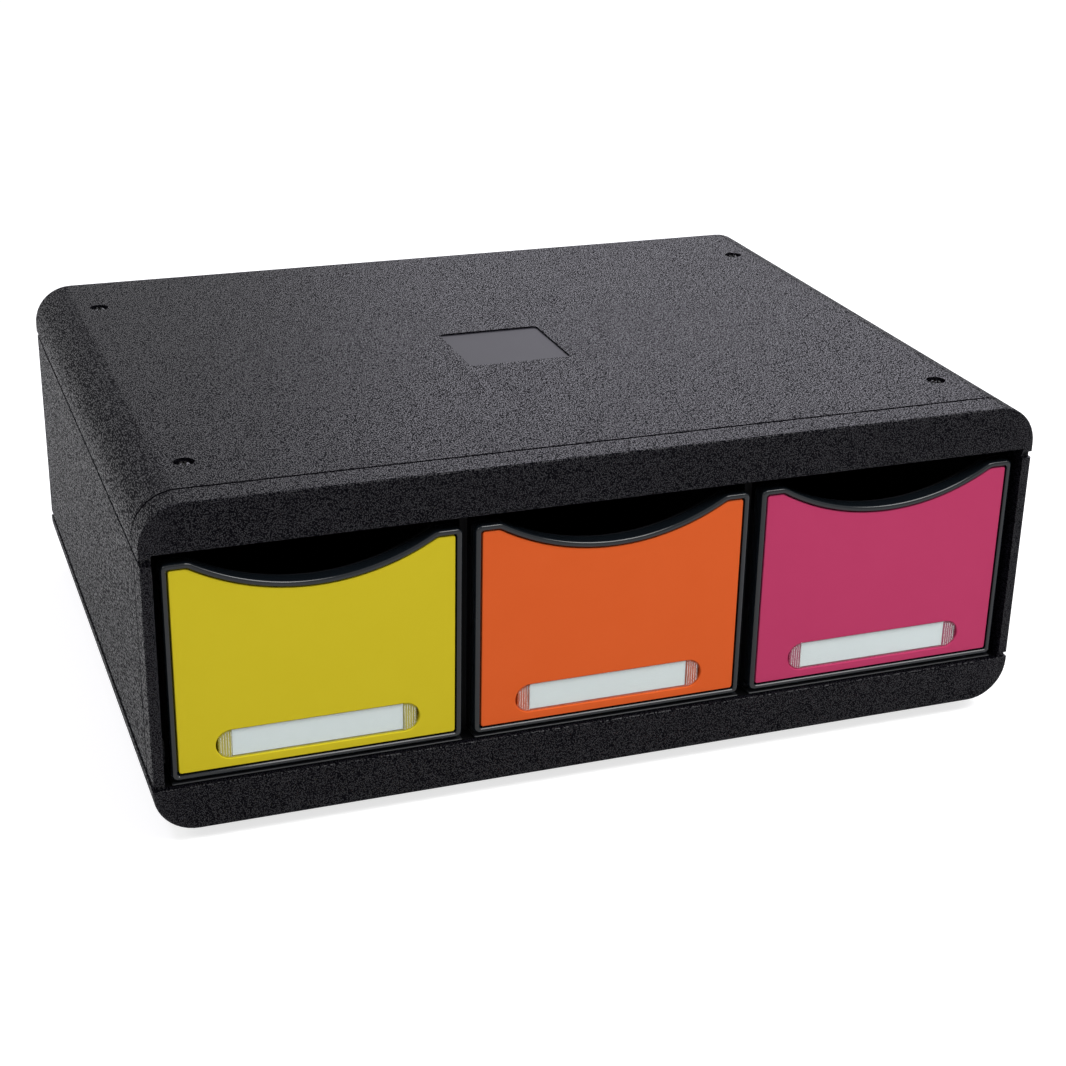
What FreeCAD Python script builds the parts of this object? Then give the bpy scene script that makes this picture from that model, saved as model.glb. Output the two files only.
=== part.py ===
import FreeCAD, Part
import math
import os

# A desktop unit with three drawers side by side, in millimetres.
# +X is to the right, +Y to the rear and +Z up; the origin is on the desk under the middle of the unit.

Vector = FreeCAD.Vector

# Whole unit
unit_width = 355.0
unit_depth = 270.0
unit_height = 135.0
foot_height = 6.0
edge_radius = 16.4          # the four long edges of the carcass
front_rounding = 1.0        # edges of the front and rear faces
seat_gap = 0.3              # between pieces that nest in one another
cut_overrun = 5.0           # how far a cutting tool runs past the material

# Top and bottom covers
top_cover_height = 20.0
bottom_cover_height = 18.0
cover_wall = 2.5
mouth_lift = 1.8            # the top beam ends this far above the seam
groove_setback = 12.5
groove_width = 1.3
groove_depth = 0.8
recess_width = 44.0
recess_length = 43.2
recess_depth = 0.6
recess_corner = 2.0
recess_forward = 4.2
support_rib_wall = 2.0
support_rib_margin = 30.0
channel_rib_wall = 1.4
channel_rib_height = 5.0
channel_rib_margin = 35.0

# Side walls, rear wall, deck and dividers
wall_inset = 0.25           # the walls stand back from the covers' outer faces
seam_reveal = 2.2           # height of the shadow gap between a wall and a cover
reveal_depth = 1.0
neck_wall = 1.6             # where the side walls step in to nest inside the covers
flange_wall = 2.6
flange_margin = 6.0         # flange beyond the screw bosses
flange_lift = 2.5           # from the upper seam to the upper flange
guide_lift = 6.0
guide_height = 10.0
rear_tongue_wall = 1.2
rear_tongue_height = 4.0
deck_wall = 2.4
divider_wall = 3.0
divider_setback = 9.5
divider_foot_gap = 0.5      # between the foot strip and the drawer fronts
divider_foot_height = 1.2
tab_length = 24.0
tab_drop = 2.0
tab_margin = 43.0

# Screws and the wells that they sit in
screw_inset = 24.0          # from the sides
screw_setback = 38.0        # from the front and the rear
well_radius = 6.5
well_floor = 2.5
head_hole_radius = 3.9
head_hole_depth = 3.0
boss_radius = 4.5
shank_radius = 1.5
shank_gap = 0.1
screw_tip_gap = 1.1
head_radius = 3.4
head_height = 2.9
head_rounding = 1.6
cross_width = 0.9
cross_length = 4.2
cross_depth = 1.3

# Rubber feet
foot_gap = 1.5              # between a foot and the screw well beside it
foot_radius = 8.0
foot_taper = 0.8
foot_rounding = 0.8
stem_radius = 3.0
stem_gap = 0.1
stem_head_radius = 4.0
stem_head_height = 2.0

# Drawers
drawer_names = ["left", "centre", "right"]
front_side_gap = 1.0        # between a front and the divider beside it
end_gap = 3.1               # between an outer front and its side wall
front_top_gap = 5.1         # between a front and the top beam
drawer_recess = 2.0         # closed fronts stand behind the covers' front face
drawer_travel = 188.0
slide_gap = 0.3
close_gap = 0.3
stop_gap = 0.3

# Drawer trays
tray_step = 0.5             # the tray is narrower and lower than its front on each side
tray_wall = 2.0
tray_floor = 2.0
tray_side_drop = 11.4       # from the top of the front to the top of the sides
tray_corner = 4.0
tray_floor_rounding = 2.0
lip_height = 0.6
lip_chamfer = 0.2
lip_gap = 0.8
stop_tab_width = 24.0
stop_overlap = 5.0
stop_rib_wall = 3.0
stop_rib_drop = 18.0

# Drawer fronts
front_depth = 5.5
front_corner = 2.4
front_bead = 1.2            # rounding of the outer rim
shoulder_width = 10.0
shoulder_rounding = 5.0
scoop_depth = 12.6
rim_width = 2.1
rim_chamfer = 0.3           # inner edge of the rim
frame_web = 1.5             # frame left behind the panel
pocket_corner = 1.0
panel_gap = 0.6
panel_recess = 0.5
panel_corner = 1.0
panel_rounding = 0.4

# Label windows and cards
window_length = 76.7
window_height = 11.4
window_lift = 3.45          # from the panel's lower edge
window_recess = 0.3         # the window's face stands behind the panel's
window_rounding = 0.2
window_gap = 0.15
window_slot = 0.8           # each end is cut flat, which leaves a nail slot in the panel
panel_web = 2.0             # panel left behind the window
card_end_margin = 6.1       # from the window's ends
card_edge_margin = 0.45
card_thickness = 0.4
card_gap = 0.1

# Levels and faces that several pieces share
half_width = unit_width / 2
half_depth = unit_depth / 2
seam_low = foot_height + bottom_cover_height
seam_high = unit_height - top_cover_height
floor_level = foot_height + cover_wall
ceiling_level = unit_height - cover_wall
front_face = -half_depth
beam_back = front_face + cover_wall
nest_gap = cover_wall + seat_gap
side_out = half_width - wall_inset
side_in = half_width - nest_gap - neck_wall
side_wall = side_out - side_in
rear_out = half_depth - wall_inset
rear_in = half_depth - nest_gap - rear_tongue_wall
rear_wall = rear_out - rear_in
mouth_top = seam_high + mouth_lift
deck_under = seam_low - deck_wall
low_flange_under = deck_under - flange_wall
high_flange_under = seam_high + flange_lift
high_flange_top = high_flange_under + flange_wall
upper_seat = unit_height - head_hole_depth
lower_seat = foot_height + head_hole_depth
upper_well_end = upper_seat - well_floor
lower_well_end = lower_seat + well_floor
shank_length = deck_under - lower_seat - screw_tip_gap
screw_x = half_width - screw_inset
screw_y = half_depth - screw_setback
foot_x = screw_x
foot_y = screw_y + well_radius + foot_gap + foot_radius

# Drawer places that several pieces share
drawer_count = len(drawer_names)
drawer_gap = divider_wall + 2 * front_side_gap
front_width = (2 * side_in - 2 * end_gap - (drawer_count - 1) * drawer_gap) / drawer_count
drawer_pitch = front_width + drawer_gap
drawer_centres = [(k - (drawer_count - 1) / 2) * drawer_pitch for k in range(drawer_count)]
divider_centres = [(a + b) / 2 for a, b in zip(drawer_centres, drawer_centres[1:])]
divider_names = ["left_divider", "right_divider"]
tray_half = front_width / 2 - tray_step
running_gap = front_side_gap + tray_step
rim_front = front_face + drawer_recess
rim_back = rim_front + front_depth
pocket_floor = rim_back - frame_web
panel_face = rim_front + panel_recess
panel_inset = rim_width + panel_gap
tray_rear = rear_in - close_gap
tray_low = seam_low + slide_gap
front_low = tray_low + lip_height + lip_gap
front_high = mouth_top - front_top_gap
tray_high = front_high - tray_side_drop
scoop_width = front_width - 2 * shoulder_width
scoop_radius = (scoop_width ** 2 / 4 + scoop_depth ** 2) / (2 * scoop_depth)
scoop_centre = front_high - scoop_depth + scoop_radius
stop_rib_low = ceiling_level - stop_rib_drop
stop_rib_rear = tray_rear - tray_wall - drawer_travel - stop_gap
window_low = front_low + panel_inset + window_lift
window_middle = window_low + window_height / 2
window_seat = pocket_floor - panel_web
card_length = window_length - 2 * card_end_margin
card_height = window_height - 2 * card_edge_margin

corner_sides = [(sx, sy) for sx in (-1, 1) for sy in (-1, 1)]
corner_names = {(-1, -1): "front_left", (1, -1): "front_right", (-1, 1): "rear_left", (1, 1): "rear_right"}


def block(x_span, y_span, z_span):
    low = Vector(min(x_span), min(y_span), min(z_span))
    high = Vector(max(x_span), max(y_span), max(z_span))
    return Part.makeBox(high.x - low.x, high.y - low.y, high.z - low.z, low)


def upright(radius, place, z_span):
    return Part.makeCylinder(radius, max(z_span) - min(z_span), Vector(place[0], place[1], min(z_span)))


def line(start, end):
    return Part.LineSegment(start, end).toShape()


def arc(start, middle, end):
    return Part.Arc(start, middle, end).toShape()


def corner_arc(centre, radius, from_angle, to_angle):
    # An arc in the XZ plane, with angles in degrees from +X towards +Z.
    points = []
    for angle in (from_angle, (from_angle + to_angle) / 2, to_angle):
        turn = math.radians(angle)
        points.append(centre + Vector(radius * math.cos(turn), 0, radius * math.sin(turn)))
    return arc(*points)


def joined(edges):
    # A closed wire through arcs and lines, with straight runs added between their ends.
    loop = []
    for here, after in zip(edges, edges[1:] + edges[:1]):
        loop.append(here)
        end = here.lastVertex().Point
        start = after.firstVertex().Point
        if end.distanceToPoint(start) > Part.Vertex(end).Tolerance:
            loop.append(line(end, start))
    return Part.Wire(loop)


def rounded_rectangle(x_span, z_span, radius, y):
    x_low, x_high = x_span
    z_low, z_high = z_span
    return Part.Face(joined([
        corner_arc(Vector(x_high - radius, y, z_high - radius), radius, 0, 90),
        corner_arc(Vector(x_low + radius, y, z_high - radius), radius, 90, 180),
        corner_arc(Vector(x_low + radius, y, z_low + radius), radius, 180, 270),
        corner_arc(Vector(x_high - radius, y, z_low + radius), radius, 270, 360),
    ]))


def carcass_prism(inset, y_span):
    # The carcass's rounded section, drawn in by an inset, along a stretch of its depth.
    face = rounded_rectangle(
        (-half_width + inset, half_width - inset),
        (foot_height + inset, unit_height - inset),
        edge_radius - inset,
        min(y_span),
    )
    return face.extrude(Vector(0, max(y_span) - min(y_span), 0))


def edges_at(shape, axis, place):
    # The edges that lie where the x, y or z coordinate has one value.
    found = []
    for edge in shape.Edges:
        if all(abs(getattr(v.Point, axis) - place) < edge.Tolerance + v.Tolerance for v in edge.Vertexes):
            found.append(edge)
    return found


def upright_edges(edges):
    return [e for e in edges if abs(e.tangentAt(e.FirstParameter).z) > math.cos(math.pi / 4)]


def rounded_ends(shape, radius):
    # Rounds the edges of the foremost and rearmost faces.
    ends = edges_at(shape, "y", -half_depth) + edges_at(shape, "y", half_depth)
    return shape.makeFillet(radius, ends)


def groove_ring():
    y_low = front_face + groove_setback
    y_span = (y_low, y_low + groove_width)
    return carcass_prism(-cut_overrun, y_span).cut(carcass_prism(groove_depth, y_span))


def recess_tool():
    x_span = (-recess_width / 2, recess_width / 2)
    y_span = (-recess_length / 2 - recess_forward, recess_length / 2 - recess_forward)
    tool = block(x_span, y_span, (unit_height - recess_depth, unit_height + cut_overrun))
    return tool.makeFillet(recess_corner, upright_edges(tool.Edges))


def cover_shell(z_span):
    # One cover before its wells and ribs: a closed-ended trough with walls of even thickness.
    outer = carcass_prism(0, (-half_depth, half_depth)).common(
        block((-unit_width, unit_width), (-unit_depth, unit_depth), z_span))
    outer = rounded_ends(outer, min(front_rounding, cover_wall / 2))
    inner = carcass_prism(cover_wall, (-half_depth + cover_wall, half_depth - cover_wall))
    return outer.cut(inner).cut(groove_ring())


def make_top_cover():
    cover = cover_shell((seam_high, unit_height + cut_overrun))
    inside = carcass_prism(cover_wall / 2, (-half_depth + cover_wall / 2, half_depth - cover_wall / 2))
    additions = []
    for sx, sy in corner_sides:
        place = (sx * screw_x, sy * screw_y)
        additions.append(upright(well_radius, place, (upper_well_end, unit_height)))
    for centre in drawer_centres:
        x_span = (centre - stop_tab_width / 2, centre + stop_tab_width / 2)
        y_span = (stop_rib_rear - stop_rib_wall, stop_rib_rear)
        additions.append(block(x_span, y_span, (stop_rib_low, unit_height)))
    for centre in divider_centres:
        for side in (-1, 1):
            rib_near = centre + side * (divider_wall / 2 + seat_gap)
            x_span = (rib_near, rib_near + side * channel_rib_wall)
            y_span = (-half_depth + channel_rib_margin, half_depth - channel_rib_margin)
            additions.append(block(x_span, y_span, (ceiling_level - channel_rib_height, unit_height)))
    cover = cover.fuse([addition.common(inside) for addition in additions])
    mouth = block((-side_in, side_in), (front_face - cut_overrun, beam_back + seat_gap),
                  (seam_high - cut_overrun, mouth_top))
    cuts = [mouth, recess_tool()]
    for sx, sy in corner_sides:
        place = (sx * screw_x, sy * screw_y)
        cuts.append(upright(head_hole_radius, place, (upper_seat, unit_height + cut_overrun)))
        cuts.append(upright(shank_radius + shank_gap, place, (upper_well_end - cut_overrun, unit_height)))
    return cover.cut(cuts).removeSplitter()


def make_bottom_cover():
    cover = cover_shell((foot_height - cut_overrun, seam_low))
    inside = carcass_prism(cover_wall / 2, (-half_depth + cover_wall / 2, half_depth - cover_wall / 2))
    additions = []
    for sx, sy in corner_sides:
        place = (sx * screw_x, sy * screw_y)
        additions.append(upright(well_radius, place, (foot_height, lower_well_end)))
    for centre in drawer_centres:
        x_span = (centre - support_rib_wall / 2, centre + support_rib_wall / 2)
        y_span = (-half_depth + support_rib_margin, half_depth - support_rib_margin)
        additions.append(block(x_span, y_span, (foot_height, deck_under)))
    cover = cover.fuse([addition.common(inside) for addition in additions])
    cuts = []
    for sx, sy in corner_sides:
        place = (sx * screw_x, sy * screw_y)
        cuts.append(upright(head_hole_radius, place, (foot_height - cut_overrun, lower_seat)))
        cuts.append(upright(shank_radius + shank_gap, place, (foot_height, lower_well_end + cut_overrun)))
        cuts.append(upright(stem_radius + stem_gap, (sx * foot_x, sy * foot_y),
                            (foot_height - cut_overrun, floor_level + cut_overrun)))
    return cover.cut(cuts).removeSplitter()


def seam_reveals(x_core, y_core):
    # Shadow gaps along both seams, around the core of a wall that reaches the covers.
    gaps = []
    for z_span in ((seam_low, seam_low + seam_reveal), (seam_high - seam_reveal, seam_high)):
        around = block((-unit_width, unit_width), (-unit_depth, unit_depth), z_span)
        gaps.append(around.cut(block(x_core, y_core, z_span)))
    return gaps


def make_side_wall(side):
    wall = block((side * side_in, side * side_out), (-half_depth, half_depth), (seam_low, seam_high))
    outer_edges = upright_edges(edges_at(wall, "x", side * side_out))
    wall = wall.makeFillet(min(front_rounding, side_wall / 2), outer_edges)
    # Necks and flanges nest inside the covers.
    y_span = (beam_back + seat_gap, rear_in - seat_gap)
    flange_in = side * (screw_x - boss_radius - flange_margin)
    flange_out = side * half_width
    nested = [
        block((side * side_in, flange_out), y_span, (low_flange_under, seam_low)),
        block((side * side_in, flange_out), y_span, (seam_high, high_flange_top)),
        block((flange_in, flange_out), y_span, (low_flange_under, deck_under)),
        block((flange_in, flange_out), y_span, (high_flange_under, high_flange_top)),
    ]
    holes = []
    for sy in (-1, 1):
        place = (side * screw_x, sy * screw_y)
        nested.append(upright(boss_radius, place, (low_flange_under, lower_well_end)))
        nested.append(upright(boss_radius, place, (high_flange_top, upper_well_end)))
        holes.append(upright(shank_radius + shank_gap, place, (lower_well_end, upper_well_end)))
    nest = carcass_prism(nest_gap, y_span)
    additions = [piece.common(nest) for piece in nested]
    guide_face = side * (drawer_centres[-1] + tray_half + running_gap)
    guide_low = seam_low + guide_lift
    additions.append(block((guide_face, side * side_in), (front_face + divider_setback, rear_in - seat_gap),
                           (guide_low, guide_low + guide_height)))
    wall = wall.fuse(additions)
    groove_y = front_face + groove_setback
    groove = block((side * (half_width - groove_depth - wall_inset), side * (half_width + cut_overrun)),
                   (groove_y, groove_y + groove_width), (seam_low, seam_high))
    reveals = seam_reveals((0, side * (side_out - reveal_depth)),
                           (front_face + reveal_depth, half_depth - reveal_depth))
    return wall.cut(holes + reveals + [groove]).removeSplitter()


def make_rear_wall():
    x_span = (-side_in + seat_gap, side_in - seat_gap)
    plate = block(x_span, (rear_in, rear_out), (seam_low, seam_high))
    outer_edges = upright_edges(edges_at(plate, "y", rear_out))
    plate = plate.makeFillet(min(front_rounding, rear_wall / 2), outer_edges)
    tongue_y = (rear_in, rear_in + rear_tongue_wall)
    nest = carcass_prism(nest_gap, tongue_y)
    tongues = [
        block(x_span, tongue_y, (seam_low - rear_tongue_height, seam_low)).common(nest),
        block(x_span, tongue_y, (seam_high, seam_high + rear_tongue_height)).common(nest),
    ]
    reveals = seam_reveals((-unit_width, unit_width), (0, rear_out - reveal_depth))
    return plate.fuse(tongues).cut(reveals).removeSplitter()


def tab_spans():
    front_tab = (front_face + tab_margin, front_face + tab_margin + tab_length)
    rear_tab = (half_depth - tab_margin - tab_length, half_depth - tab_margin)
    return [front_tab, rear_tab]


def make_drawer_deck():
    deck = block((-side_in + seat_gap, side_in - seat_gap), (beam_back + seat_gap, rear_in - seat_gap),
                 (deck_under, seam_low))
    slots = []
    for centre in divider_centres:
        half_slot = divider_wall / 2 + seat_gap
        for y_low, y_high in tab_spans():
            slots.append(block((centre - half_slot, centre + half_slot),
                               (y_low - seat_gap, y_high + seat_gap),
                               (deck_under - cut_overrun, seam_low + cut_overrun)))
    return deck.cut(slots)


def make_divider(centre):
    x_span = (centre - divider_wall / 2, centre + divider_wall / 2)
    y_span = (front_face + divider_setback, rear_in - seat_gap)
    plate = block(x_span, y_span, (seam_low, ceiling_level))
    half_foot = drawer_gap / 2 - divider_foot_gap
    foot = block((centre - half_foot, centre + half_foot), y_span,
                 (seam_low, seam_low + divider_foot_height))
    tabs = [block(x_span, span, (deck_under - tab_drop, seam_low)) for span in tab_spans()]
    return plate.fuse([foot] + tabs).removeSplitter()


def make_screw(place, seat, direction):
    # A pan head on its seat; direction is +1 where the head faces up and -1 where it faces down.
    head = upright(head_radius, place, (seat, seat + direction * head_height))
    crown = seat + direction * head_height
    head = head.makeFillet(min(head_rounding, head_radius / 2), edges_at(head, "z", crown))
    bars = []
    for x_size, y_size in ((cross_length, cross_width), (cross_width, cross_length)):
        bars.append(block((place[0] - x_size / 2, place[0] + x_size / 2),
                          (place[1] - y_size / 2, place[1] + y_size / 2),
                          (crown - direction * cross_depth, crown + direction * cut_overrun)))
    shank = upright(shank_radius, place, (seat, seat - direction * shank_length))
    return head.cut(bars).fuse(shank).removeSplitter()


def make_foot(place):
    pad = Part.makeCone(foot_radius - foot_taper, foot_radius, foot_height, Vector(place[0], place[1], 0))
    pad = pad.makeFillet(min(foot_rounding, foot_height / 2), edges_at(pad, "z", 0))
    stem = upright(stem_radius, place, (foot_height, floor_level))
    head_base = Vector(place[0], place[1], floor_level)
    head = Part.makeCone(stem_head_radius, stem_radius, stem_head_height, head_base)
    return pad.fuse([stem, head]).removeSplitter()


def front_outline(inset, corner, y):
    # A drawer front's outline with the finger scoop in its top edge, drawn in by an inset.
    half = front_width / 2 - inset
    low = front_low + inset
    high = front_high - inset
    radius = scoop_radius + inset
    shoulder = shoulder_rounding - inset
    middle = Vector(0, y, scoop_centre)
    reach = math.sqrt((radius + shoulder) ** 2 - (scoop_centre - high + shoulder) ** 2)
    edges = []
    for side in (1, -1):
        centre = Vector(side * reach, y, high - shoulder)
        along = centre - middle
        touch = middle + along * (radius / (radius + shoulder))
        crest = centre + Vector(0, 0, shoulder)
        way = (touch - centre).normalize() + Vector(0, 0, 1)
        between = centre + way.normalize() * shoulder
        edges.append(arc(touch, between, crest) if side < 0 else arc(crest, between, touch))
    right_shoulder, left_shoulder = edges
    scoop_ends = (right_shoulder.lastVertex().Point, left_shoulder.firstVertex().Point)
    scoop = arc(scoop_ends[0], middle - Vector(0, 0, radius), scoop_ends[1])
    return Part.Face(joined([
        right_shoulder,
        scoop,
        left_shoulder,
        corner_arc(Vector(-half + corner, y, high - corner), corner, 90, 180),
        corner_arc(Vector(-half + corner, y, low + corner), corner, 180, 270),
        corner_arc(Vector(half - corner, y, low + corner), corner, 270, 360),
        corner_arc(Vector(half - corner, y, high - corner), corner, 0, 90),
    ]))


def front_prism(inset, corner, y_span):
    return front_outline(inset, corner, y_span[0]).extrude(Vector(0, y_span[1] - y_span[0], 0))


def make_tray():
    wall_back = rim_back + tray_wall
    tray = block((-tray_half, tray_half), (rim_back, tray_rear), (tray_low, tray_high))
    front = front_prism(tray_step, front_corner, (rim_back, wall_back))
    lip = block((-front_width / 2, front_width / 2), (rim_front, wall_back),
                (tray_low, tray_low + lip_height))
    lip = lip.makeChamfer(min(lip_chamfer, lip_height / 3), edges_at(lip, "y", rim_front))
    tab = block((-stop_tab_width / 2, stop_tab_width / 2), (tray_rear - tray_wall, tray_rear),
                (tray_low, stop_rib_low + stop_overlap))
    cavity = block((-tray_half + tray_wall, tray_half - tray_wall), (wall_back, tray_rear - tray_wall),
                   (tray_low + tray_floor, tray_high + cut_overrun))
    cavity = cavity.makeFillet(tray_corner, upright_edges(cavity.Edges))
    floor_edges = edges_at(cavity, "z", tray_low + tray_floor)
    cavity = cavity.makeFillet(min(tray_floor_rounding, tray_corner / 2), floor_edges)
    scoop = Part.makeCylinder(scoop_radius + tray_step, tray_wall + 2 * cut_overrun,
                              Vector(0, rim_back - cut_overrun, scoop_centre), Vector(0, 1, 0))
    return tray.fuse(lip).cut([cavity, scoop]).fuse([front, tab]).removeSplitter()


def make_front_frame():
    frame = front_prism(0, front_corner, (rim_front, rim_back))
    bead = min(front_bead, rim_width - 2 * rim_chamfer, front_corner / 2)
    frame = frame.makeFillet(bead, edges_at(frame, "y", rim_front))
    pocket = front_prism(rim_width, pocket_corner, (rim_front, pocket_floor))
    flare_end = rim_front + rim_chamfer
    flare = front_prism(rim_width - rim_chamfer, pocket_corner, (rim_front - cut_overrun, flare_end))
    flare = flare.makeChamfer(rim_chamfer, edges_at(flare, "y", flare_end))
    return frame.cut([pocket, flare]).removeSplitter()


def pill(length, height, y_span):
    z_span = (window_middle - height / 2, window_middle + height / 2)
    face = rounded_rectangle((-length / 2, length / 2), z_span, height / 2, min(y_span))
    return face.extrude(Vector(0, max(y_span) - min(y_span), 0))


def between_slots(y_span):
    half = window_length / 2 - window_slot
    return block((-half, half), y_span, (front_low, front_high))


def make_front_panel():
    panel = front_prism(panel_inset, panel_corner, (panel_face, pocket_floor))
    length = window_length + 2 * window_gap
    height = window_height + 2 * window_gap
    window_pocket = pill(length, height, (panel_face - cut_overrun, window_seat))
    through = (panel_face - cut_overrun, pocket_floor + cut_overrun)
    nail_slots = pill(length, height, through).cut(between_slots(through))
    panel = panel.cut([window_pocket, nail_slots]).removeSplitter()
    return panel.makeFillet(min(panel_rounding, panel_corner / 2), edges_at(panel, "y", panel_face))


def card_block(grow):
    return block((-card_length / 2 - grow, card_length / 2 + grow),
                 (window_seat - card_thickness - grow, window_seat + grow),
                 (window_middle - card_height / 2 - grow, window_middle + card_height / 2 + grow))


def make_label_window():
    face = panel_face + window_recess
    window = pill(window_length, window_height, (face, window_seat))
    window = window.common(between_slots((face, window_seat)))
    window = window.makeFillet(window_rounding, edges_at(window, "y", face))
    return window.cut(card_block(card_gap)).removeSplitter()


pieces = {
    "top_cover": make_top_cover(),
    "bottom_cover": make_bottom_cover(),
    "left_side_wall": make_side_wall(-1),
    "right_side_wall": make_side_wall(1),
    "rear_wall": make_rear_wall(),
    "drawer_deck": make_drawer_deck(),
}
for name, centre in zip(divider_names, divider_centres):
    pieces[name] = make_divider(centre)
for sx, sy in corner_sides:
    corner = corner_names[(sx, sy)]
    pieces[corner + "_top_screw"] = make_screw((sx * screw_x, sy * screw_y), upper_seat, 1)
    pieces[corner + "_bottom_screw"] = make_screw((sx * screw_x, sy * screw_y), lower_seat, -1)
    pieces[corner + "_foot"] = make_foot((sx * foot_x, sy * foot_y))
drawer_pieces = {
    "tray": make_tray(),
    "front_frame": make_front_frame(),
    "front_panel": make_front_panel(),
    "label_window": make_label_window(),
    "label_card": card_block(0),
}
for drawer, centre in zip(drawer_names, drawer_centres):
    for kind, shape in drawer_pieces.items():
        pieces[drawer + "_" + kind] = shape.translated(Vector(centre, 0, 0))

os.makedirs("parts", exist_ok=True)
for name, shape in pieces.items():
    shape.exportStep(os.path.join("parts", name + ".step"))
    print(name, "solids", len(shape.Solids), "valid", shape.isValid(), "volume", round(shape.Volume, 1))
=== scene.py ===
import math
import bpy
from mathutils import Matrix, Vector


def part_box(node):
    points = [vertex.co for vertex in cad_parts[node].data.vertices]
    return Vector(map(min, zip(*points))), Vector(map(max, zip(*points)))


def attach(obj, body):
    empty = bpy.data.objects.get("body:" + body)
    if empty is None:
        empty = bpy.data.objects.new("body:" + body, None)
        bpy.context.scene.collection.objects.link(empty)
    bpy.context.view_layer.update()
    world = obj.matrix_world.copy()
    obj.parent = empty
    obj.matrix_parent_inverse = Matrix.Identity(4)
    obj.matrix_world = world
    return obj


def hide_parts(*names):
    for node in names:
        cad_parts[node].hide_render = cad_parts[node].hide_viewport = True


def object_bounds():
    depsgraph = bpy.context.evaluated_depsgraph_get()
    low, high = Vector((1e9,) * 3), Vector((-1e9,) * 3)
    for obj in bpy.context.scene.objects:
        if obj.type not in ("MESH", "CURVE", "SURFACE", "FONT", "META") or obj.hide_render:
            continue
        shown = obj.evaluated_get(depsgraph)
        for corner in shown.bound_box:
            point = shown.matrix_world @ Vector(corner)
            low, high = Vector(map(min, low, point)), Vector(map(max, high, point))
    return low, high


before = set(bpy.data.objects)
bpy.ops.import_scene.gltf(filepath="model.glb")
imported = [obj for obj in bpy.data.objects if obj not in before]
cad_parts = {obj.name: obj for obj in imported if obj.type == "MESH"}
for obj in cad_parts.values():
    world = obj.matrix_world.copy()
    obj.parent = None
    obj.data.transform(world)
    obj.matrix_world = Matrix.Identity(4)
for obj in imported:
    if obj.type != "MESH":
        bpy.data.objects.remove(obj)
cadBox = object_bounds()
mm = 0.001                                   # the scene is in metres, sizes below are written in millimetres
drawerNames = ("left", "centre", "right")


# Node sheets and shader maths

class Wire:                                  # one socket; sums on wires add Math nodes
    def __init__(self, sheet, socket):
        self.sheet = sheet
        self.socket = socket

    def out(self, name):                     # another output of the same node
        return Wire(self.sheet, self.socket.node.outputs[name])

    def maths(self, operation, *terms):
        return self.sheet.node("ShaderNodeMath", {"operation": operation}, dict(enumerate(terms)))

    def atMost(self, limit):
        return self.maths("MINIMUM", self, limit)

    def atLeast(self, limit):
        return self.maths("MAXIMUM", self, limit)

    def __add__(self, other):
        return self.maths("ADD", self, other)

    def __radd__(self, other):
        return self.maths("ADD", other, self)

    def __sub__(self, other):
        return self.maths("SUBTRACT", self, other)

    def __rsub__(self, other):
        return self.maths("SUBTRACT", other, self)

    def __mul__(self, other):
        return self.maths("MULTIPLY", self, other)

    def __rmul__(self, other):
        return self.maths("MULTIPLY", other, self)

    def __truediv__(self, other):
        return self.maths("DIVIDE", self, other)

    def __pow__(self, other):
        return self.maths("POWER", self, other)

    def __lt__(self, other):
        return self.maths("LESS_THAN", self, other)

    def __gt__(self, other):
        return self.maths("GREATER_THAN", self, other)

    def __abs__(self):
        return self.maths("ABSOLUTE", self)


class NodeSheet:                             # a node tree and the one way nodes are added to it
    def __init__(self, tree):
        self.tree = tree

    def node(self, kind, settings=None, values=None):   # a list of wires goes into one socket
        made = self.tree.nodes.new(kind)
        for name, setting in (settings or {}).items():
            setattr(made, name, setting)
        for key, value in (values or {}).items():
            wires = value if isinstance(value, list) else [value]
            for wire in wires:
                if isinstance(wire, Wire):
                    self.tree.links.new(wire.socket, made.inputs[key])
                else:
                    made.inputs[key].default_value = wire
        return Wire(self, made.outputs[0]) if made.outputs else None


def paint(red, green, blue):                 # a colour as it is seen, 0 to 255, to linear light
    def linear(level):
        share = level / 255
        return share / 12.92 if share <= 0.04045 else ((share + 0.055) / 1.055) ** 2.4
    return (linear(red), linear(green), linear(blue), 1.0)


def newFinish(name):
    material = bpy.data.materials.new(name)
    material.use_nodes = True
    material.node_tree.nodes.clear()
    sheet = NodeSheet(material.node_tree)
    place = sheet.node("ShaderNodeTexCoord").out("Object")
    return material, sheet, place


def noise(sheet, place, size, detail=2.0, roughness=0.5):   # size is the width of one blotch
    values = {"Vector": place, "Scale": 1 / size, "Detail": detail, "Roughness": roughness}
    return sheet.node("ShaderNodeTexNoise", {}, values)


def blend(sheet, share, dark, light):        # two colours by a share
    values = {"Factor": share, 6: dark, 7: light}
    return sheet.node("ShaderNodeMix", {"data_type": "RGBA"}, values).out(2)


def spread(sheet, value, low, high):         # stretches low to high over 0 to 1
    values = {"Value": value, "From Min": low, "From Max": high}
    return sheet.node("ShaderNodeMapRange", {"clamp": True}, values)


def vary(middle, pattern, amount):           # a value that a 0 to 1 pattern moves about its middle
    return middle + (pattern - 0.5) * amount


def bump(sheet, height, strength, depth):
    return sheet.node("ShaderNodeBump", {}, {"Height": height, "Strength": strength, "Distance": depth})


def finishWith(sheet, shader):
    sheet.node("ShaderNodeOutputMaterial", {}, {"Surface": shader})


# Grained shell

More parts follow.
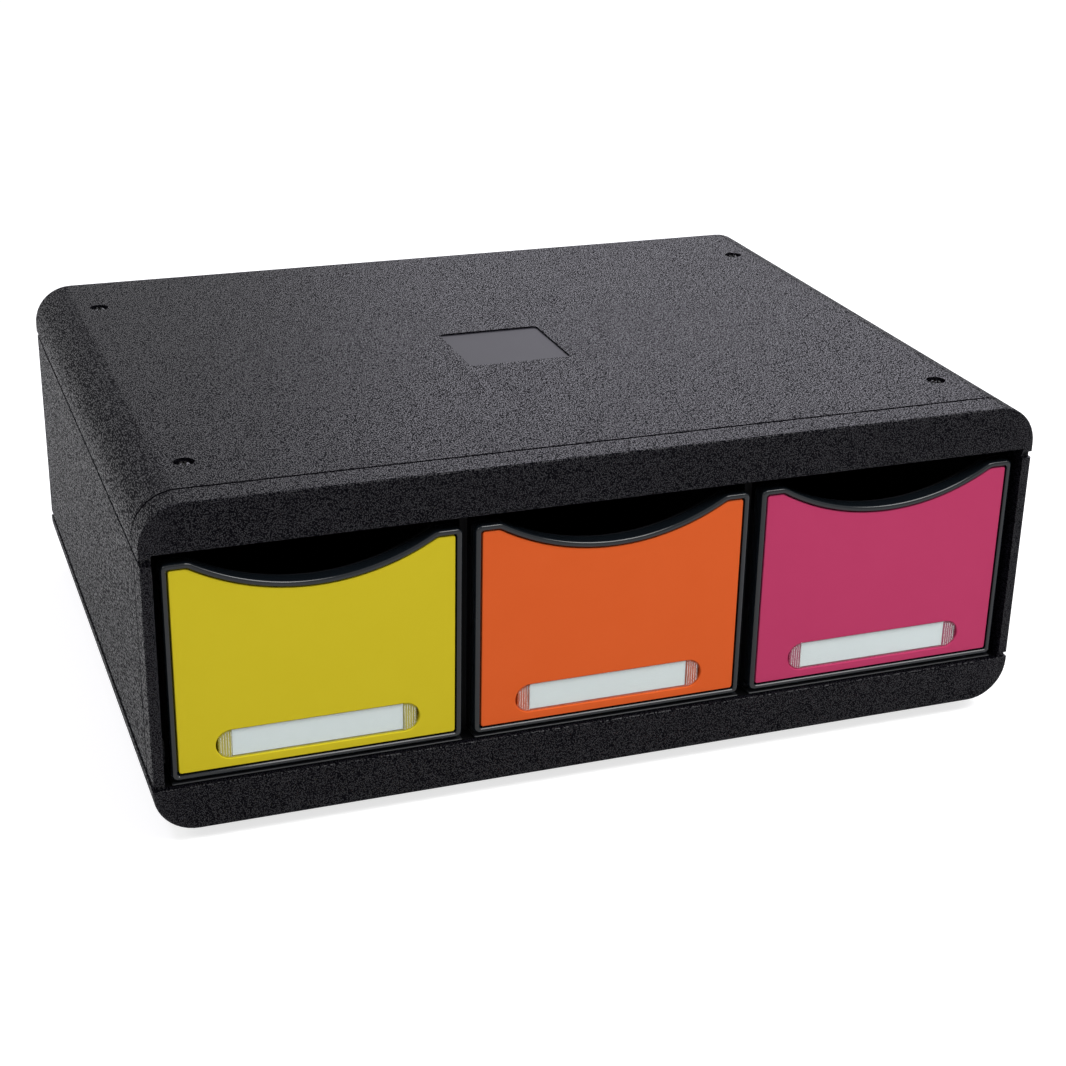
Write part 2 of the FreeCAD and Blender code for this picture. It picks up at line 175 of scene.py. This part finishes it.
shellGrain = {
    # pits painted near black as painted shade in the hollows, crests paler as painted highlights
    "pit": paint(3, 3, 4),
    "crest": paint(18, 17, 23),
    "pebble": 0.47 * mm,                     # width of one pebble of the leather grain
    "pebbleRandomness": 0.8,
    "pebbleFall": 1.15,                      # how fast a pebble drops towards its edge
    "pebbleShare": 0.85,
    "driftWidth": 3,                         # the pebbles wander over this many of them
    "driftShare": 0.5,                       # by up to this much of one
    "sand": 0.42 * mm,                       # finer grain over the pebbles
    "sandDetail": 2.0,
    "sandRoughness": 0.8,
    "sandShare": 0.3,
    "topDraw": 0.43,                         # the grain is drawn out along the depth
    "sideDraw": 0.24,                        # more so on the side walls
    "sideStart": 161 * mm,                   # where the top's grain turns into the sides'
    "sideEnd": 173 * mm,
    "depth": 0.65 * mm,
    "roughness": 0.7,
    "roughnessSpread": 0.1,
    "specular": 0.03,
    "tint": (0.6, 0.55, 1.0, 1.0),
    "coatRoughness": 0.4,                    # the crests are glossier than the pits
    "coatIndex": 1.35,
    "pitEdge": 0.48,                         # heights between which a pit turns into a crest
    "crestEdge": 0.71,
    "sideShadeAndShine": 0.88,                       # painted shade: less of the crests' paler colour and their shine on the sides, against the top's
    "frontLightAndShine": 1.35,                      # painted light: more of both on the front
    "frontStart": 133.5 * mm,
    "frontEnd": 134.8 * mm,
    "scuff": 38 * mm,
    "scuffDetail": 4.0,
    "scuffRoughness": 0.55,
    "recessWidth": 44.0 * mm,                # the bare square on top is moulded smooth
    "recessLength": 43.2 * mm,
    "recessForward": 4.2 * mm,
    "recessDepth": 0.6 * mm,
    "recessTone": 0.5,
}


def grainHeight(sheet, place, look, draw):   # pebbles with sand on them, drawn out along the depth
    drawn = sheet.node("ShaderNodeMapping", {}, {"Vector": place, "Scale": (1.0, draw, 1.0)})
    drift = noise(sheet, drawn, look["driftWidth"] * look["pebble"]).out("Color")
    reach = (look["driftShare"] * look["pebble"],) * 3
    bent = sheet.node("ShaderNodeVectorMath", {"operation": "MULTIPLY_ADD"}, {0: drift, 1: reach, 2: drawn})
    pebbles = sheet.node("ShaderNodeTexVoronoi", {"feature": "F1"}, {
        "Vector": bent.out("Vector"), "Scale": 1 / look["pebble"], "Randomness": look["pebbleRandomness"]})
    sand = noise(sheet, drawn, look["sand"], look["sandDetail"], look["sandRoughness"])
    return (1 - pebbles * look["pebbleFall"]) * look["pebbleShare"] + sand * look["sandShare"]


def makeShell(look):
    material, sheet, place = newFinish("shellGrain")
    axes = sheet.node("ShaderNodeSeparateXYZ", {}, {0: place})
    side = spread(sheet, abs(axes.out("X")), look["sideStart"], look["sideEnd"])
    front = spread(sheet, axes.out("Y") * -1, look["frontStart"], look["frontEnd"])
    topGrain = grainHeight(sheet, place, look, look["topDraw"])
    sideGrain = grainHeight(sheet, place, look, look["sideDraw"])
    height = topGrain * (1 - side) + sideGrain * side
    # The recess's floor has no grain
    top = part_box("top_cover")[1].z
    inset = look["recessDepth"] / 2
    insideX = abs(axes.out("X")) < look["recessWidth"] / 2 - inset
    insideY = abs(axes.out("Y") + look["recessForward"]) < look["recessLength"] / 2 - inset
    insideZ = axes.out("Z") > top - 2 * look["recessDepth"]
    grained = 1 - insideX * insideY * insideZ
    # Crests are paler and shinier than pits; the paler crest colour is partly the plastic's tone and partly a
    # painted highlight, and the near-black pit colour is painted shade in the hollows
    # Painted light by face: the crest share, so the paler colour as well as the shine, drops on the sides and
    # rises on the front
    faceLightAndShine = 1 - side * (1 - look["sideShadeAndShine"]) + front * (look["frontLightAndShine"] - 1)
    crests = (spread(sheet, height, look["pitEdge"], look["crestEdge"]) * faceLightAndShine).atMost(1.0)
    share = crests * grained + look["recessTone"] * (1 - grained)
    scuff = noise(sheet, place, look["scuff"], look["scuffDetail"], look["scuffRoughness"])
    shader = sheet.node("ShaderNodeBsdfPrincipled", {}, {
        "Base Color": blend(sheet, share, look["pit"], look["crest"]),
        "Roughness": vary(look["roughness"], scuff, look["roughnessSpread"]),
        "Specular IOR Level": look["specular"],
        "Specular Tint": look["tint"],
        "Coat Weight": share,
        "Coat Roughness": look["coatRoughness"],
        "Coat IOR": look["coatIndex"],
        "Normal": bump(sheet, height * grained, 1.0, look["depth"]),
    })
    finishWith(sheet, shader)
    return material


# Smooth mouldings

mouldedSkin = {                              # alike on all of them
    "mottleDetail": 5.0,
    "grainDetail": 3.0,
    "noiseRoughness": 0.6,
    "mottleShare": 0.7,
    "grainShare": 0.3,
    "bumpStrength": 0.4,
}
innerBlack = {
    "name": "innerBlack", "dark": paint(4, 4, 5), "light": paint(9, 9, 10), "mottle": 22 * mm,
    "grain": 0.9 * mm, "roughness": 0.6, "spread": 0.14, "specular": 0.06, "depth": 0.02 * mm,
}
trayBlack = {
    "name": "trayBlack", "dark": paint(21, 22, 24), "light": paint(31, 32, 35), "mottle": 30 * mm,
    "grain": 1.2 * mm, "roughness": 0.4, "spread": 0.12, "specular": 0.2, "depth": 0.015 * mm,
}
rimSlate = {
    "name": "rimSlate", "dark": paint(14, 18, 22), "light": paint(20, 25, 30), "mottle": 14 * mm,
    "grain": 0.6 * mm, "roughness": 0.07, "spread": 0.03, "specular": 0.3, "depth": 0.003 * mm,
}
panelSkin = {
    "mottle": 18 * mm,
    "grain": 0.7 * mm, "roughness": 0.5, "spread": 0.08, "specular": 0.1, "depth": 0.012 * mm,
}
panelColours = {
    "left": {"name": "panelYellow", "dark": paint(197, 179, 28), "light": paint(202, 185, 36)},
    "centre": {"name": "panelOrange", "dark": paint(210, 87, 32), "light": paint(215, 93, 40)},
    "right": {"name": "panelPink", "dark": paint(177, 51, 93), "light": paint(182, 58, 99)},
}
footRubber = {
    "name": "footRubber", "dark": paint(30, 30, 31), "light": paint(44, 44, 45), "mottle": 4 * mm,
    "grain": 0.5 * mm, "roughness": 0.82, "spread": 0.12, "specular": 0.2, "depth": 0.06 * mm,
}


def makeMoulding(look):
    material, sheet, place = newFinish(look["name"])
    mottle = noise(sheet, place, look["mottle"], mouldedSkin["mottleDetail"], mouldedSkin["noiseRoughness"])
    grain = noise(sheet, place, look["grain"], mouldedSkin["grainDetail"], mouldedSkin["noiseRoughness"])
    share = mottle * mouldedSkin["mottleShare"] + grain * mouldedSkin["grainShare"]
    mottled = vary(look["roughness"], mottle, look["spread"])
    shader = sheet.node("ShaderNodeBsdfPrincipled", {}, {
        "Base Color": blend(sheet, share, look["dark"], look["light"]),
        "Roughness": vary(mottled, grain, look["spread"] / 2),
        "Specular IOR Level": look["specular"],
        "Normal": bump(sheet, grain, mouldedSkin["bumpStrength"], look["depth"]),
    })
    finishWith(sheet, shader)
    return material


# Label windows

windowClear = {
    "name": "windowClear",
    "film": (0.94, 0.96, 0.955, 1.0),
    "glaze": (0.92, 0.93, 0.93, 1.0),
    "glint": 0.034,                          # share of light that a window gives back head on
    "edgePower": 5,                          # how late the glint grows towards the edge
    "facingBlend": 0.5,
    "haze": 6 * mm,
    "hazeDetail": 3.0,
    "veil": 0.03,
    "roughness": 0.08,
    "roughnessSpread": 0.1,
}


def makeWindow(look):
    material, sheet, place = newFinish(look["name"])
    haze = noise(sheet, place, look["haze"], look["hazeDetail"])
    clear = sheet.node("ShaderNodeBsdfTransparent", {}, {"Color": look["film"]})
    glaze = sheet.node("ShaderNodeBsdfPrincipled", {}, {
        "Base Color": look["glaze"],
        "Metallic": 1.0,
        "Roughness": vary(look["roughness"], haze, look["roughnessSpread"]),
    })
    facing = sheet.node("ShaderNodeLayerWeight", {}, {"Blend": look["facingBlend"]}).out("Facing")
    share = look["glint"] + (1 - look["glint"]) * facing ** look["edgePower"] + haze * look["veil"]
    finishWith(sheet, sheet.node("ShaderNodeMixShader", {}, {0: share, 1: clear, 2: glaze}))
    return material


# Label cards

cardWhite = {
    "dark": paint(228, 233, 234),
    "light": paint(242, 245, 246),
    "fibre": 0.5 * mm,
    "fibreDetail": 4.0,
    "fibreRoughness": 0.65,
    "stretch": 6.0,                          # length of a fibre against its width
    "bumpStrength": 0.3,
    "depth": 0.02 * mm,
    "roughness": 0.85,
    "roughnessSpread": 0.1,
    "specular": 0.2,
}


def makeCard(look):
    material, sheet, place = newFinish("cardWhite")
    drawn = sheet.node("ShaderNodeMapping", {}, {"Vector": place, "Scale": (1 / look["stretch"], 1.0, 1.0)})
    fibres = noise(sheet, drawn, look["fibre"], look["fibreDetail"], look["fibreRoughness"])
    shader = sheet.node("ShaderNodeBsdfPrincipled", {}, {
        "Base Color": blend(sheet, fibres, look["dark"], look["light"]),
        "Roughness": vary(look["roughness"], fibres, look["roughnessSpread"]),
        "Specular IOR Level": look["specular"],
        "Normal": bump(sheet, fibres, look["bumpStrength"], look["depth"]),
    })
    finishWith(sheet, shader)
    return material


# Black plating of the screws

screwBlack = {
    "dark": paint(4, 4, 5),
    "light": paint(10, 10, 11),
    "plating": 1.1 * mm,
    "platingDetail": 4.0,
    "platingRoughness": 0.6,
    "roughness": 0.16,
    "spread": 0.08,
    "specular": 0.2,
}


def makeScrew(look):
    material, sheet, place = newFinish("screwBlack")
    plating = noise(sheet, place, look["plating"], look["platingDetail"], look["platingRoughness"])
    shader = sheet.node("ShaderNodeBsdfPrincipled", {}, {
        "Base Color": blend(sheet, plating, look["dark"], look["light"]),
        "Roughness": vary(look["roughness"], plating, look["spread"]),
        "Specular IOR Level": look["specular"],
    })
    finishWith(sheet, shader)
    return material


finishes = {
    "shell_black": makeShell(shellGrain),
    "inner_black": makeMoulding(innerBlack),
    "tray_black": makeMoulding(trayBlack),
    "rim_slate": makeMoulding(rimSlate),
    "panel_yellow": makeMoulding({**panelSkin, **panelColours["left"]}),
    "panel_orange": makeMoulding({**panelSkin, **panelColours["centre"]}),
    "panel_pink": makeMoulding({**panelSkin, **panelColours["right"]}),
    "window_clear": makeWindow(windowClear),
    "card_white": makeCard(cardWhite),
    "screw_black": makeScrew(screwBlack),
    "foot_rubber": makeMoulding(footRubber),
}
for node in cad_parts.values():
    for slot in node.material_slots:
        slot.material = finishes[slot.material.name.split(".")[0]]
print("finishes:", len(finishes))


# Pieces grown from node trees

def newPieceTree(name, kinds):               # an empty node tree with named inputs
    tree = bpy.data.node_groups.new(name, "GeometryNodeTree")
    sockets = {}
    for label, kind in kinds.items():
        socket = tree.interface.new_socket(name=label, in_out="INPUT", socket_type="NodeSocket" + kind)
        sockets[label] = socket.identifier
    tree.interface.new_socket(name="Geometry", in_out="OUTPUT", socket_type="NodeSocketGeometry")
    sheet = NodeSheet(tree)
    return tree, sockets, sheet, sheet.node("NodeGroupInput")


def growMesh(name, tree, sockets, settings, places=()):   # a node tree made a plain mesh object at the origin
    start = bpy.data.meshes.new(name + "Seed")
    start.from_pydata(places, [], [])
    seed = bpy.data.objects.new(name + "Seed", start)
    bpy.context.scene.collection.objects.link(seed)
    modifier = seed.modifiers.new(name, "NODES")
    modifier.node_group = tree
    for key, value in settings.items():
        modifier[sockets[key]] = value
    bpy.context.view_layer.update()
    grown = bpy.data.meshes.new_from_object(seed.evaluated_get(bpy.context.evaluated_depsgraph_get()))
    seed.modifiers.remove(modifier)
    bpy.data.objects.remove(seed)
    piece = bpy.data.objects.new(name, grown)
    bpy.context.scene.collection.objects.link(piece)
    return piece


# Fine ribs on the ends of each label window

labelRibs = {
    "count": 5,                              # on each end
    "pitch": 0.95 * mm,
    "width": 0.38 * mm,
    "proud": 0.22 * mm,
    "startGap": 0.55 * mm,                   # from the card's end to the first rib
    "endMargin": 0.55 * mm,                  # from a rib's end to the window's edge
    "slot": 0.8 * mm,                        # the window's round ends are cut flat by this much
    "tipPower": 10,                          # how late a rib rounds off towards its tips
    "tipWidth": 0.001,                       # what is left of it there, squared
    "sides": 10,
    "rings": 13,
    "glint": 0.18,                           # more than the window's, so that the ribs show
}


def makeRibTree(look):
    tree, sockets, sheet, given = newPieceTree("labelRibs", {
        "Rib Count": "Int", "Rib Pitch": "Float", "Rib Width": "Float", "Rib Proud": "Float",
        "First Rib": "Float", "End Centre": "Float", "End Radius": "Float", "Place": "Vector",
        "Sides": "Int", "Rings": "Int", "Finish": "Material"})
    # One rib of unit length with rounded ends
    spine = sheet.node("GeometryNodeCurvePrimitiveLine", {}, {"Start": (0, 0, -0.5), "End": (0, 0, 0.5)})
    spine = sheet.node("GeometryNodeResampleCurve", {}, {"Curve": spine, "Count": given.out("Rings")})
    along = sheet.node("GeometryNodeSplineParameter").out("Factor")
    taper = (1 + look["tipWidth"] - abs(along * 2 - 1) ** look["tipPower"]) ** 0.5
    spine = sheet.node("GeometryNodeSetCurveRadius", {}, {"Curve": spine, "Radius": taper})
    section = sheet.node("GeometryNodeCurvePrimitiveCircle", {}, {
        "Resolution": given.out("Sides"), "Radius": 1.0})
    rib = sheet.node("GeometryNodeCurveToMesh", {}, {0: spine, "Profile Curve": section, "Fill Caps": True})
    # Two rows of places, one on each end of the window
    rows = []
    for side in (-1, 1):
        start = sheet.node("ShaderNodeCombineXYZ", {}, {"X": given.out("First Rib") * side})
        step = sheet.node("ShaderNodeCombineXYZ", {}, {"X": given.out("Rib Pitch") * side})
        rows.append(sheet.node("GeometryNodeMeshLine", {}, {
            "Count": given.out("Rib Count"), "Start Location": start, "Offset": step}))
    both = sheet.node("GeometryNodeJoinGeometry", {}, {0: rows})
    # Each rib is as long as the rounded end is high at its place
    spot = sheet.node("GeometryNodeInputPosition")
    across = abs(sheet.node("ShaderNodeSeparateXYZ", {}, {0: spot})) - given.out("End Centre")
    across = across.atLeast(0.0)
    chord = 2 * (given.out("End Radius") ** 2 - across ** 2) ** 0.5
    size = sheet.node("ShaderNodeCombineXYZ", {}, {
        "X": given.out("Rib Width") / 2, "Y": given.out("Rib Proud"), "Z": chord})
    ribs = sheet.node("GeometryNodeInstanceOnPoints", {}, {"Points": both, "Instance": rib, "Scale": size})
    ribs = sheet.node("GeometryNodeTransform", {}, {"Geometry": ribs, "Translation": given.out("Place")})
    ribs = sheet.node("GeometryNodeRealizeInstances", {}, {"Geometry": ribs})
    ribs = sheet.node("GeometryNodeSetShadeSmooth", {}, {"Geometry": ribs})
    ribs = sheet.node("GeometryNodeSetMaterial", {}, {"Geometry": ribs, "Material": given.out("Finish")})
    sheet.node("NodeGroupOutput", {}, {"Geometry": ribs})
    return tree, sockets


ribTree, ribSockets = makeRibTree(labelRibs)
ribFinish = makeWindow({**windowClear, "name": "ribClear", "glint": labelRibs["glint"]})
for drawer in drawerNames:
    windowLow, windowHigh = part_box(drawer + "_label_window")
    cardLow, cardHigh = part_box(drawer + "_label_card")
    middle = (windowLow + windowHigh) / 2
    radius = (windowHigh.z - windowLow.z) / 2
    ribs = growMesh(drawer + "_label_ribs", ribTree, ribSockets, {
        "Rib Count": labelRibs["count"],
        "Rib Pitch": labelRibs["pitch"],
        "Rib Width": labelRibs["width"],
        "Rib Proud": labelRibs["proud"],
        "First Rib": (cardHigh.x - cardLow.x) / 2 + labelRibs["startGap"],
        "End Centre": (windowHigh.x - windowLow.x) / 2 + labelRibs["slot"] - radius,
        "End Radius": radius - labelRibs["endMargin"],
        "Place": Vector((middle.x, windowLow.y, middle.z)),
        "Sides": labelRibs["sides"],
        "Rings": labelRibs["rings"],
        "Finish": ribFinish,
    })
    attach(ribs, drawer + "_drawer")
print("label ribs:", 2 * labelRibs["count"], "on each window")


# Domed cross-head screws of both covers

coverScrews = {
    "nodes": [end + "_" + side + "_" + cover + "_screw" for end in ("front", "rear")
              for side in ("left", "right") for cover in ("top", "bottom")],
    "headRadius": 3.4 * mm,
    "headHeight": 2.95 * mm,
    "domeRadius": 3.42 * mm,
    "crownLift": 0.05 * mm,                  # above the plain head that the dome stands for
    "pitRadius": 1.25 * mm,
    "pitDepth": 1.5 * mm,
    "crossLength": 4.4 * mm,
    "crossWidth": 0.8 * mm,
    "crossDepth": 1.15 * mm,
    "shankRadius": 1.5 * mm,
    "shankStart": 0.75,                      # how far down the head the shank starts, as a share of it
    "sides": 64,
    "weld": 0.004 * mm,                      # points closer than this are one
    "sharpAngle": 0.5,                       # edges above this stay sharp, in radians
}


def makeScrewTree(look):
    tree, sockets, sheet, given = newPieceTree("coverScrews", {
        "Places": "Geometry", "Middle Height": "Float", "Head Radius": "Float", "Head Height": "Float",
        "Dome Radius": "Float", "Pit Radius": "Float", "Pit Depth": "Float", "Cross Length": "Float",
        "Cross Width": "Float", "Cross Depth": "Float", "Shank Radius": "Float", "Shank Length": "Float",
        "Sides": "Int", "Weld": "Float", "Sharp Angle": "Float", "Finish": "Material"})

    def lift(mesh, height):
        rise = sheet.node("ShaderNodeCombineXYZ", {}, {"Z": height})
        return sheet.node("GeometryNodeTransform", {}, {"Geometry": mesh, "Translation": rise})

    def combine(operation, values):
        return sheet.node("GeometryNodeMeshBoolean", {"operation": operation, "solver": "EXACT"}, values)

    # The crown is at the origin, the shank points down
    sides = given.out("Sides")
    headHeight = given.out("Head Height")
    domeRadius = given.out("Dome Radius")
    barrel = sheet.node("GeometryNodeMeshCylinder", {}, {
        "Vertices": sides, "Radius": given.out("Head Radius"), "Depth": headHeight})
    dome = sheet.node("GeometryNodeMeshUVSphere", {}, {
        "Segments": sides, "Rings": sides, "Radius": domeRadius})
    head = combine("INTERSECT", {"Mesh 2": [lift(barrel, headHeight * -0.5), lift(dome, domeRadius * -1)]})
    # A pointed pit and two bars cut the cross
    pit = sheet.node("GeometryNodeMeshCone", {}, {
        "Vertices": sides, "Radius Top": given.out("Pit Radius") * 2, "Radius Bottom": 0.0,
        "Depth": given.out("Pit Depth") * 2})
    cuts = [lift(pit, given.out("Pit Depth") * -1)]
    for along, across in (("X", "Y"), ("Y", "X")):
        size = sheet.node("ShaderNodeCombineXYZ", {}, {
            along: given.out("Cross Length"), across: given.out("Cross Width"),
            "Z": given.out("Cross Depth") * 2})
        cuts.append(sheet.node("GeometryNodeMeshCube", {}, {"Size": size}))
    head = combine("DIFFERENCE", {"Mesh 1": head, "Mesh 2": cuts})
    shankLength = given.out("Shank Length")
    shank = sheet.node("GeometryNodeMeshCylinder", {}, {
        "Vertices": sides, "Radius": given.out("Shank Radius"), "Depth": shankLength})
    shank = lift(shank, shankLength * -0.5 - headHeight * look["shankStart"])
    screw = combine("UNION", {"Mesh 2": [head, shank]})
    screw = sheet.node("GeometryNodeMergeByDistance", {}, {"Geometry": screw, "Distance": given.out("Weld")})
    # Screws of the bottom cover are turned over
    height = sheet.node("ShaderNodeSeparateXYZ", {}, {0: sheet.node("GeometryNodeInputPosition")}).out("Z")
    turn = sheet.node("ShaderNodeCombineXYZ", {}, {"X": (height < given.out("Middle Height")) * math.pi})
    screws = sheet.node("GeometryNodeInstanceOnPoints", {}, {
        "Points": given.out("Places"), "Instance": screw, "Rotation": turn})
    screws = sheet.node("GeometryNodeRealizeInstances", {}, {"Geometry": screws})
    screws = sheet.node("GeometryNodeSetShadeSmooth", {}, {"Geometry": screws})
    sharp = sheet.node("GeometryNodeInputMeshEdgeAngle") > given.out("Sharp Angle")
    screws = sheet.node("GeometryNodeSetShadeSmooth", {"domain": "EDGE"}, {
        "Geometry": screws, "Selection": sharp, "Shade Smooth": False})
    screws = sheet.node("GeometryNodeSetMaterial", {}, {"Geometry": screws, "Material": given.out("Finish")})
    sheet.node("NodeGroupOutput", {}, {"Geometry": screws})
    return tree, sockets


screwTree, screwSockets = makeScrewTree(coverScrews)
middleHeight = sum(corner.z for corner in cadBox) / 2
crowns = []
for name in coverScrews["nodes"]:
    low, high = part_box(name)
    upward = low.z > middleHeight
    crownHeight = high.z + coverScrews["crownLift"] if upward else low.z - coverScrews["crownLift"]
    crowns.append(((low.x + high.x) / 2, (low.y + high.y) / 2, crownHeight))
screwLow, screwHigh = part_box(coverScrews["nodes"][-1])   # all eight are the same length
screws = growMesh("cover_screws", screwTree, screwSockets, {
    "Middle Height": middleHeight,
    "Head Radius": coverScrews["headRadius"],
    "Head Height": coverScrews["headHeight"],
    "Dome Radius": coverScrews["domeRadius"],
    "Pit Radius": coverScrews["pitRadius"],
    "Pit Depth": coverScrews["pitDepth"],
    "Cross Length": coverScrews["crossLength"],
    "Cross Width": coverScrews["crossWidth"],
    "Cross Depth": coverScrews["crossDepth"],
    "Shank Radius": coverScrews["shankRadius"],
    "Shank Length": screwHigh.z - screwLow.z - coverScrews["headHeight"] * coverScrews["shankStart"],
    "Sides": coverScrews["sides"],
    "Weld": coverScrews["weld"],
    "Sharp Angle": coverScrews["sharpAngle"],
    "Finish": finishes["screw_black"],
}, crowns)
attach(screws, "carcass")
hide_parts(*coverScrews["nodes"])
print("cover screws:", len(crowns), "with", len(screws.data.polygons), "faces in all")


# Floor, light and camera

plainWhite = (1.0, 1.0, 1.0)
coolWhite = (0.88, 0.85, 1.0)
studio = {
    "floorSize": 9.0,
    "floorGlow": 0.72,                       # what the floor shows of its own accord, so that it reads white
    "floorLit": 0.55,                        # what it shows of the light on it, with the shadow
    "floorBounce": paint(204, 204, 205),
    "skyLevel": 0.4,
    "lamps": (
        # name, place, aim, width, height, watts, colour
        ("leftBox", (-1.15, -0.7, 1.15), (0.0, -0.05, 0.06), 0.4, 0.4, 4.2, plainWhite),
        ("rightBox", (0.55, -0.72, 1.25), (0.0, -0.05, 0.08), 0.9, 0.6, 17.0, plainWhite),
        ("backBox", (0.9, 1.5, 0.9), (0.0, 0.0, 0.12), 1.2, 0.6, 7.0, coolWhite),
        ("rearLeftBox", (-0.62, 0.55, 1.15), (0.0, 0.0, 0.13), 0.22, 0.22, 4.2, coolWhite),
        ("rearRightBox", (0.6, 0.42, 1.2), (0.0, 0.0, 0.13), 0.22, 0.22, 4.2, coolWhite),
    ),
}


def seenRays(sheet):                         # 1 for rays that show the background itself
    rays = sheet.node("ShaderNodeLightPath")
    seen = rays.out("Is Camera Ray") + rays.out("Is Glossy Ray") + rays.out("Is Transmission Ray")
    return seen.atMost(1.0)


def makeFloor(look):
    half = look["floorSize"] / 2
    corners = [(-half, -half, 0), (half, -half, 0), (half, half, 0), (-half, half, 0)]
    mesh = bpy.data.meshes.new("floor")
    mesh.from_pydata(corners, [], [(0, 1, 2, 3)])
    floor = bpy.data.objects.new("floor", mesh)
    bpy.context.scene.collection.objects.link(floor)
    material, sheet, place = newFinish("floor")
    lit = sheet.node("ShaderNodeBsdfDiffuse", {}, {"Color": (look["floorLit"],) * 3 + (1.0,)})
    glow = sheet.node("ShaderNodeEmission", {}, {"Color": plainWhite + (1.0,), "Strength": look["floorGlow"]})
    shown = sheet.node("ShaderNodeAddShader", {}, {0: lit, 1: glow})
    bounce = sheet.node("ShaderNodeBsdfDiffuse", {}, {"Color": look["floorBounce"]})
    above = sheet.node("ShaderNodeMixShader", {}, {0: seenRays(sheet), 1: bounce, 2: shown})
    clear = sheet.node("ShaderNodeBsdfTransparent")
    under = sheet.node("ShaderNodeNewGeometry").out("Backfacing")   # clear from below
    finishWith(sheet, sheet.node("ShaderNodeMixShader", {}, {0: under, 1: above, 2: clear}))
    mesh.materials.append(material)


def makeSky(look):
    world = bpy.data.worlds.new("studio")
    bpy.context.scene.world = world
    world.use_nodes = True
    world.node_tree.nodes.clear()
    sheet = NodeSheet(world.node_tree)
    level = look["skyLevel"] + seenRays(sheet) * (1 - look["skyLevel"])
    sky = sheet.node("ShaderNodeBackground", {}, {"Color": plainWhite + (1.0,), "Strength": level})
    sheet.node("ShaderNodeOutputWorld", {}, {"Surface": sky})


def hangLamp(name, place, aim, width, height, watts, colour):
    lamp = bpy.data.lights.new(name, "AREA")
    lamp.shape = "RECTANGLE"
    lamp.size = width
    lamp.size_y = height
    lamp.energy = watts
    lamp.color = colour
    hung = bpy.data.objects.new(name, lamp)
    hung.location = place
    hung.rotation_euler = (Vector(aim) - Vector(place)).to_track_quat("-Z", "Y").to_euler()
    bpy.context.scene.collection.objects.link(hung)


makeFloor(studio)
makeSky(studio)
for lamp in studio["lamps"]:
    hangLamp(*lamp)
bpy.context.scene.view_settings.view_transform = "Standard"
print("studio: floor, sky and", len(studio["lamps"]), "soft boxes")

viewpoint = {
    "place": (-0.26991, -0.771175, 0.401804),
    "heading": 20.3622,                      # degrees from +Y towards +X
    "pitch": -23.4594,
    "roll": 1.1818,
    "lens": 68.2617,                         # on a 36 mm square frame
    "sensor": 36.0,
    "near": 0.01,
    "far": 100.0,
}


def makeCamera(look):
    camera = bpy.data.cameras.new("camera")
    camera.lens = look["lens"]
    camera.sensor_width = look["sensor"]
    camera.clip_start = look["near"]
    camera.clip_end = look["far"]
    shot = bpy.data.objects.new("camera", camera)
    turn = Matrix.Rotation(math.radians(-look["heading"]), 4, "Z")
    tilt = Matrix.Rotation(math.radians(90 + look["pitch"]), 4, "X")
    roll = Matrix.Rotation(math.radians(look["roll"]), 4, "Z")
    shot.matrix_world = Matrix.Translation(look["place"]) @ turn @ tilt @ roll
    bpy.context.scene.collection.objects.link(shot)
    bpy.context.scene.camera = shot


makeCamera(viewpoint)
print("camera placed")
